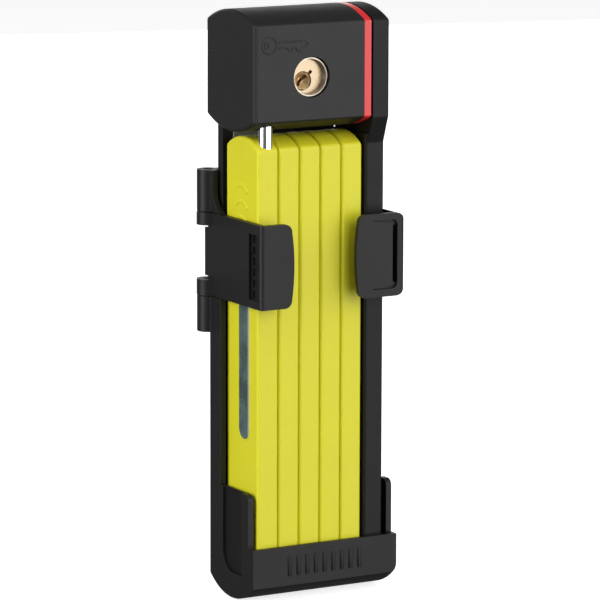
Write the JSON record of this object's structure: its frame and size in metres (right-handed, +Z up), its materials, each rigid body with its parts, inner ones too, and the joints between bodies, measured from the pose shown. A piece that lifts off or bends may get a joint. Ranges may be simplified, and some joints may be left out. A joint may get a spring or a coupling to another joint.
{
  "type": "folding bike lock",
  "caption": "Folding bicycle lock: lime sheathed steel links folded flat under a black keyed lock head, seated in a frame bracket with hinged side clips.",
  "frame": {"origin": "centre of the bracket's two frame bolt holes, on the rear plane that meets the bicycle frame", "axes": "+Z up along the links towards the lock head, +Y back into the bicycle frame, +X to the right seen from the front"},
  "size_m": [0.0584, 0.0402, 0.1894],
  "materials": {
    "head_black": "satin, very fine grain",
    "link_black": "satin, very fine grain",
    "red_trim": "semi-gloss",
    "lime_cover": "soft satin",
    "inlay": "reflective strip under clear plastic",
    "case_steel": "zinc plated",
    "core_steel": "hardened",
    "hard_steel": "hardened",
    "chrome_rod": "polished",
    "small_steel": "plain",
    "spring_steel": "drawn wire",
    "collar_brass": "turned",
    "cylinder_gold": "polished",
    "pin_brass": "turned",
    "bracket_black": "fine spark-eroded grain",
    "clip_black": "fine spark-eroded grain",
    "grip_rubber": "matt"
  },
  "bodies": {
    "bracket": {"cradle_back": "bracket_black", "cradle_tray": "bracket_black", "frame_pads": "grip_rubber", "left_hinge_pins": "small_steel", "right_hinge_pins": "small_steel"},
    "left_clip": {"left_clip": "clip_black", "left_grip_pad": "grip_rubber"},
    "right_clip": {"right_clip": "clip_black", "right_grip_pad": "grip_rubber"},
    "lock_head": {"head_shell": "head_black", "head_end_cap": "head_black", "lock_case": "case_steel", "red_trim": "red_trim", "shell_screws": "small_steel", "cylinder_collar": "collar_brass", "cylinder_housing": "cylinder_gold", "driver_pins": "pin_brass", "pin_springs": "spring_steel", "bolt_spring": "spring_steel", "rod_bush": "pin_brass"},
    "key_plug": {"key_plug": "cylinder_gold", "key_pins": "pin_brass", "plug_cam": "pin_brass"},
    "bolt": {"lock_bolt": "hard_steel"},
    "link_1": {"bar_1_core": "core_steel", "bar_1_sleeve": "lime_cover", "bar_1_inlay": "inlay", "swivel_rod": "chrome_rod", "rod_clip": "small_steel", "rivet_1_2": "hard_steel"},
    "link_2": {"bar_2_core": "core_steel", "bar_2_sleeve": "lime_cover", "rivet_2_3": "hard_steel"},
    "link_3": {"bar_3_core": "core_steel", "bar_3_sleeve": "lime_cover", "rivet_3_4": "hard_steel"},
    "link_4": {"bar_4_core": "core_steel", "bar_4_sleeve": "lime_cover", "rivet_4_5": "hard_steel"},
    "link_5": {"bar_5_core": "core_steel", "bar_5_sleeve": "lime_cover", "rivet_5_6": "hard_steel"},
    "link_6": {"bar_6_core": "core_steel", "bar_6_sleeve": "link_black", "locking_tongue": "hard_steel"}
  },
  "joints": [
    {"name": "lock_lift", "type": "slide", "parent": "bracket", "child": "lock_head", "axis": [0, 0, 1], "range_m": [0, 0.15]},
    {"name": "left_clip_open", "type": "hinge", "parent": "bracket", "child": "left_clip", "pos_m": [-0.02548, -0.001, 0.0319], "axis": [0, 0, -1], "range_deg": [0, 105]},
    {"name": "right_clip_open", "type": "hinge", "parent": "bracket", "child": "right_clip", "pos_m": [0.02548, -0.001, 0.0319], "axis": [0, 0, 1], "range_deg": [0, 105]},
    {"name": "bolt_slide", "type": "slide", "parent": "lock_head", "child": "bolt", "axis": [0, 0, 1], "range_m": [0, 0.003], "deforming": ["bolt_spring"]},
    {"name": "key_turn", "type": "hinge", "parent": "lock_head", "child": "key_plug", "pos_m": [-0.0073, -0.0215, 0.08925], "axis": [0, -1, 0], "range_deg": [0, 90]},
    {"name": "rod_swivel", "type": "hinge", "parent": "lock_head", "child": "link_1", "pos_m": [-0.01935, -0.0277, 0.081], "axis": [0, 0, 1], "range_deg": [-0.1, 0.1]},
    {"name": "fold_1_2", "type": "hinge", "parent": "link_1", "child": "link_2", "pos_m": [-0.01588, -0.0199, -0.06], "axis": [1, 0, 0], "range_deg": [-0.1, 0.1]},
    {"name": "fold_2_3", "type": "hinge", "parent": "link_2", "child": "link_3", "pos_m": [-0.00828, -0.0199, 0.058], "axis": [-1, 0, 0], "range_deg": [-0.1, 0.05]},
    {"name": "fold_3_4", "type": "hinge", "parent": "link_3", "child": "link_4", "pos_m": [-0.00068, -0.0199, -0.06], "axis": [1, 0, 0], "range_deg": [-0.1, 0.1]},
    {"name": "fold_4_5", "type": "hinge", "parent": "link_4", "child": "link_5", "pos_m": [0.00692, -0.0199, 0.058], "axis": [-1, 0, 0], "range_deg": [-0.1, 0.05]},
    {"name": "fold_5_6", "type": "hinge", "parent": "link_5", "child": "link_6", "pos_m": [0.01452, -0.0199, -0.06], "axis": [1, 0, 0], "range_deg": [-0.1, 0.1]}
  ],
  "couplings": [
    {"joint": "key_turn", "follows": "bolt_slide", "rad_per_m": 523.6}
  ]
}
